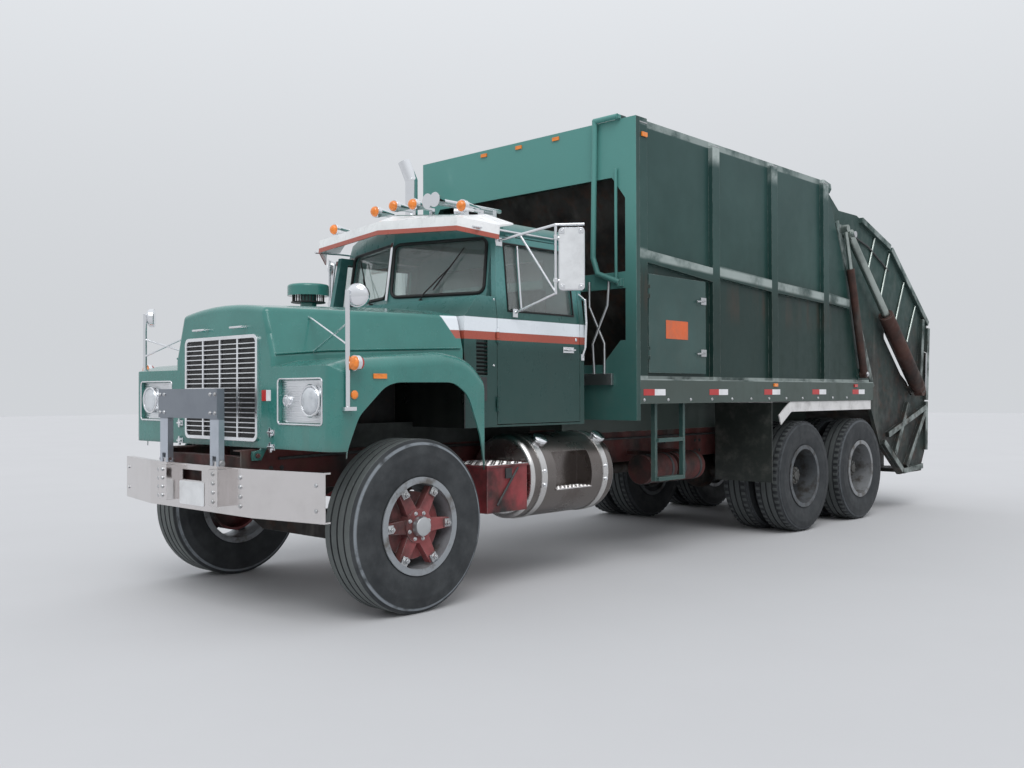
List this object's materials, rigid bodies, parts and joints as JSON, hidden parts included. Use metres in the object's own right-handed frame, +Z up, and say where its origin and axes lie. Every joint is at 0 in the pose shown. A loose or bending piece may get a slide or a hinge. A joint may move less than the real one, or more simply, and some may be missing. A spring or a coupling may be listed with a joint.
{
  "type": "rear-loading garbage truck with a conventional cab",
  "caption": "Conventional-cab garbage truck with a ribbed packer body, a lifting tailgate with its packing blade, steered front wheels and opening doors.",
  "frame": {"origin": "on the ground under the middle of the truck's length and width", "axes": "+Z up, -Y towards the front of the truck, +X towards its left side"},
  "size_m": [2.9358, 9.327, 3.5676],
  "materials": {
    "chassis_red": "dull gloss",
    "polished_metal": "polished",
    "engine_grey": "rough",
    "cab_green": "gloss",
    "body_green": "dull gloss",
    "window_glass": "clear",
    "visor_white": "gloss",
    "chrome": "bright",
    "interior_black": "matt",
    "tyre_rubber": "matt",
    "wheel_red": "dull",
    "wheel_grey": "dull",
    "worn_steel": "dirty",
    "barrel_brown": "dirty",
    "rod_steel": "worn"
  },
  "bodies": {
    "chassis": {"frame_rails": "chassis_red", "front_bumper": "polished_metal", "front_axle": "chassis_red", "rear_axles": "chassis_red", "engine": "engine_grey", "cab_shell": "cab_green", "cab_glass": "window_glass", "sun_visor": "visor_white", "roof_fittings": "chrome", "grab_handles": "chrome", "cab_interior": "interior_black", "exhaust_stack": "chrome", "fuel_tank": "polished_metal", "battery_box": "chassis_red", "air_tanks": "chassis_red", "side_ladder": "body_green", "rear_fenders": "polished_metal", "body_floor": "body_green", "body_sides": "body_green", "body_roof": "body_green", "body_front": "body_green"},
    "hood": {"hood": "cab_green", "grille": "polished_metal", "headlights": "chrome", "fender_mirrors": "chrome"},
    "bumper_guard": {"bumper_guard": "polished_metal"},
    "left_door": {"left_door": "cab_green", "left_door_glass": "window_glass", "left_mirror": "chrome"},
    "right_door": {"right_door": "cab_green", "right_door_glass": "window_glass", "right_mirror": "chrome"},
    "side_access_door": {"side_access_door": "body_green"},
    "left_knuckle": {"left_knuckle": "chassis_red"},
    "right_knuckle": {"right_knuckle": "chassis_red"},
    "tie_rod": {"tie_rod": "chassis_red"},
    "front_left_wheel": {"front_left_tyre": "tyre_rubber", "front_left_wheel": "wheel_red"},
    "front_right_wheel": {"front_right_tyre": "tyre_rubber", "front_right_wheel": "wheel_red"},
    "forward_left_wheel": {"forward_left_tyres": "tyre_rubber", "forward_left_wheel": "wheel_grey"},
    "forward_right_wheel": {"forward_right_tyres": "tyre_rubber", "forward_right_wheel": "wheel_grey"},
    "rearward_left_wheel": {"rearward_left_tyres": "tyre_rubber", "rearward_left_wheel": "wheel_grey"},
    "rearward_right_wheel": {"rearward_right_tyres": "tyre_rubber", "rearward_right_wheel": "wheel_grey"},
    "tailgate": {"tailgate_shell": "worn_steel", "hopper_floor": "worn_steel", "riding_steps": "worn_steel", "slide_rods": "rod_steel"},
    "packer_carriage": {"packer_carriage": "worn_steel", "slide_cylinders": "barrel_brown"},
    "packer_blade": {"packer_blade": "worn_steel"},
    "sweep_barrels": {"sweep_barrels": "worn_steel"},
    "sweep_rods": {"sweep_rods": "rod_steel"},
    "lift_barrels": {"lift_barrels": "worn_steel"},
    "lift_rods": {"lift_rods": "rod_steel"},
    "ejector_panel": {"ejector_panel": "worn_steel"}
  },
  "joints": [
    {"name": "hood_tilt", "type": "hinge", "parent": "chassis", "child": "hood", "pos_m": [0, -4.47, 0.985], "axis": [1, 0, 0], "range_deg": [0, 55]},
    {"name": "guard_fold", "type": "hinge", "parent": "chassis", "child": "bumper_guard", "pos_m": [0, -4.655, 0.945], "axis": [1, 0, 0], "range_deg": [0, 105]},
    {"name": "left_door_swing", "type": "hinge", "parent": "chassis", "child": "left_door", "pos_m": [0.99, -2.872, 1.8], "axis": [0, 0, -1], "range_deg": [0, 70]},
    {"name": "right_door_swing", "type": "hinge", "parent": "chassis", "child": "right_door", "pos_m": [-0.99, -2.872, 1.8], "axis": [0, 0, 1], "range_deg": [0, 70]},
    {"name": "access_door_swing", "type": "hinge", "parent": "chassis", "child": "side_access_door", "pos_m": [1.226, -1.396, 1.95], "axis": [0, 0, -1], "range_deg": [0, 100]},
    {"name": "steer_left", "type": "hinge", "parent": "chassis", "child": "left_knuckle", "pos_m": [0.845, -3.75, 0.542], "axis": [0, 0, 1], "range_deg": [-30, 30]},
    {"name": "steer_right", "type": "hinge", "parent": "chassis", "child": "right_knuckle", "pos_m": [-0.845, -3.75, 0.542], "axis": [0, 0, 1], "range_deg": [-30, 30]},
    {"name": "tie_rod_pivot", "type": "hinge", "parent": "left_knuckle", "child": "tie_rod", "pos_m": [0.79, -3.56, 0.46], "axis": [0, 0, 1], "range_deg": [-30, 30]},
    {"name": "front_left_wheel_spin", "type": "hinge", "parent": "left_knuckle", "child": "front_left_wheel", "pos_m": [1.03, -3.75, 0.542], "axis": [1, 0, 0], "continuous": true},
    {"name": "front_right_wheel_spin", "type": "hinge", "parent": "right_knuckle", "child": "front_right_wheel", "pos_m": [-1.03, -3.75, 0.542], "axis": [1, 0, 0], "continuous": true},
    {"name": "forward_left_wheel_spin", "type": "hinge", "parent": "chassis", "child": "forward_left_wheel", "pos_m": [0.9, 1.2655, 0.542], "axis": [1, 0, 0], "continuous": true},
    {"name": "forward_right_wheel_spin", "type": "hinge", "parent": "chassis", "child": "forward_right_wheel", "pos_m": [-0.9, 1.2655, 0.542], "axis": [1, 0, 0], "continuous": true},
    {"name": "rearward_left_wheel_spin", "type": "hinge", "parent": "chassis", "child": "rearward_left_wheel", "pos_m": [0.9, 2.5585, 0.542], "axis": [1, 0, 0], "continuous": true},
    {"name": "rearward_right_wheel_spin", "type": "hinge", "parent": "chassis", "child": "rearward_right_wheel", "pos_m": [-0.9, 2.5585, 0.542], "axis": [1, 0, 0], "continuous": true},
    {"name": "tailgate_lift", "type": "hinge", "parent": "chassis", "child": "tailgate", "pos_m": [0, 1.87, 3.47], "axis": [1, 0, 0], "range_deg": [0, 85]},
    {"name": "lift_barrel_swing", "type": "hinge", "parent": "chassis", "child": "lift_barrels", "pos_m": [0, 2.56, 1.56], "axis": [1, 0, 0], "range_deg": [-8.75, 0]},
    {"name": "lift_rod_slide", "type": "slide", "parent": "lift_barrels", "child": "lift_rods", "axis": [0, -0.2781, 0.9606], "range_m": [0, 0.56298]},
    {"name": "packer_slide", "type": "slide", "parent": "tailgate", "child": "packer_carriage", "axis": [0, -0.7575, 0.6529], "range_m": [0, 0.95]},
    {"name": "blade_sweep", "type": "hinge", "parent": "packer_carriage", "child": "packer_blade", "pos_m": [0, 3.95, 1.37], "axis": [1, 0, 0], "range_deg": [0, 115]},
    {"name": "sweep_barrel_swing", "type": "hinge", "parent": "packer_carriage", "child": "sweep_barrels", "pos_m": [0, 3.27739, 2.12133], "axis": [1, 0, 0], "range_deg": [0, 2.38]},
    {"name": "sweep_rod_slide", "type": "slide", "parent": "sweep_barrels", "child": "sweep_rods", "axis": [0, 0.7384, -0.6743], "range_m": [-0.37097, 0]},
    {"name": "ejector_slide", "type": "slide", "parent": "chassis", "child": "ejector_panel", "axis": [0, 1, 0], "range_m": [0, 3.05]}
  ],
  "couplings": [
    {"joint": "guard_fold", "follows": "hood_tilt", "ratio": 1.9},
    {"joint": "steer_right", "follows": "steer_left", "ratio": 1},
    {"joint": "tie_rod_pivot", "follows": "steer_left", "ratio": -1},
    {"joint": "lift_barrel_swing", "follows": "tailgate_lift", "ratio": -0.10172},
    {"joint": "lift_rod_slide", "follows": "tailgate_lift", "m_per_rad": 0.37814},
    {"joint": "sweep_barrel_swing", "follows": "blade_sweep", "ratio": 0.019807},
    {"joint": "sweep_rod_slide", "follows": "blade_sweep", "m_per_rad": -0.18383}
  ]
}
